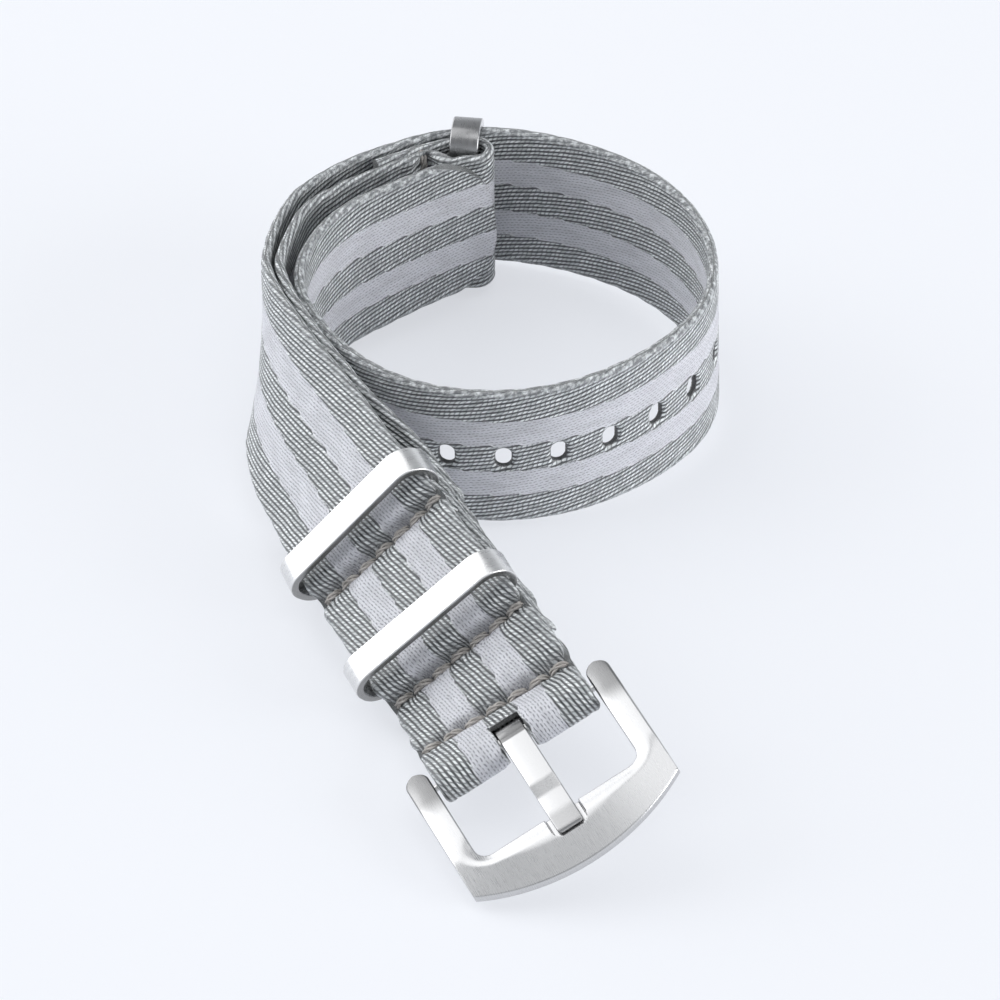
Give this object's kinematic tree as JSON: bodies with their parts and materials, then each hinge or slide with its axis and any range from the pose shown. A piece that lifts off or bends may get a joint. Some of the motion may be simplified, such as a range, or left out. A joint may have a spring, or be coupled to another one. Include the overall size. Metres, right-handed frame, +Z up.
{
  "type": "watch strap",
  "caption": "Striped woven nylon pull-through watch strap with a pin buckle, keepers and an end ring, lying closed in a loop.",
  "frame": {"origin": "middle of the bounding box, at the floor the strap lies on", "axes": "+Z up from the floor, +Y from the buckle towards the loop's far side, +X to the loop's right as seen from the buckle"},
  "size_m": [0.0562, 0.1154, 0.0234],
  "materials": {
    "webbing": "herringbone woven nylon in light and dark grey stripes",
    "thread": "dull sewing thread",
    "steel": "satin brushed, edges bright"
  },
  "bodies": {
    "strap": {"main_strap": "webbing", "short_strap": "webbing", "fold_stitching": "thread", "keeper_stitching_near_buckle": "thread", "keeper_stitching_near_loop": "thread", "end_ring_stitching": "thread"},
    "buckle": {"buckle_frame": "steel", "spring_bar_tube": "steel", "spring_bar_spring": "steel"},
    "tongue": {"tongue": "steel"},
    "plunger_left": {"plunger_left": "steel"},
    "plunger_right": {"plunger_right": "steel"},
    "keeper_near_buckle": {"keeper_near_buckle": "steel"},
    "keeper_near_loop": {"keeper_near_loop": "steel"},
    "end_ring": {"end_ring": "steel"}
  },
  "joints": [
    {"name": "buckle_hinge", "type": "hinge", "parent": "strap", "child": "buckle", "pos_m": [0.00337, -0.03934, 0.00881], "axis": [-0.8446, -0.3735, -0.3836], "range_deg": [-90, 40]},
    {"name": "tongue_hinge", "type": "hinge", "parent": "buckle", "child": "tongue", "pos_m": [0.00337, -0.03934, 0.00881], "axis": [-0.8446, -0.3735, -0.3836], "range_deg": [0, 80]},
    {"name": "plunger_left_slide", "type": "slide", "parent": "buckle", "child": "plunger_left", "axis": [0.8446, 0.3735, 0.3836], "range_m": [0, 0.0009], "stiffness_N_per_m": 800, "springref_m": -0.0005, "deforming": ["spring_bar_spring"]},
    {"name": "plunger_right_slide", "type": "slide", "parent": "buckle", "child": "plunger_right", "axis": [-0.8446, -0.3735, -0.3836], "range_m": [0, 0.0009], "stiffness_N_per_m": 800, "springref_m": -0.0005, "deforming": ["spring_bar_spring"]},
    {"name": "keeper_near_buckle_slide", "type": "slide", "parent": "strap", "child": "keeper_near_buckle", "axis": [-0.5162, 0.8431, 0.1508], "range_m": [0, 0.0014]},
    {"name": "keeper_near_loop_hinge", "type": "hinge", "parent": "strap", "child": "keeper_near_loop", "pos_m": [-0.01239, -0.0059, 0.01023], "axis": [-0.6622, -0.1395, -0.7362], "range_deg": [-1.2, 1.2]},
    {"name": "end_ring_hinge", "type": "hinge", "parent": "strap", "child": "end_ring", "pos_m": [-0.0024, 0.05133, 0.01135], "axis": [0.0046, -0.0033, -1], "range_deg": [-10, 1]}
  ]
}
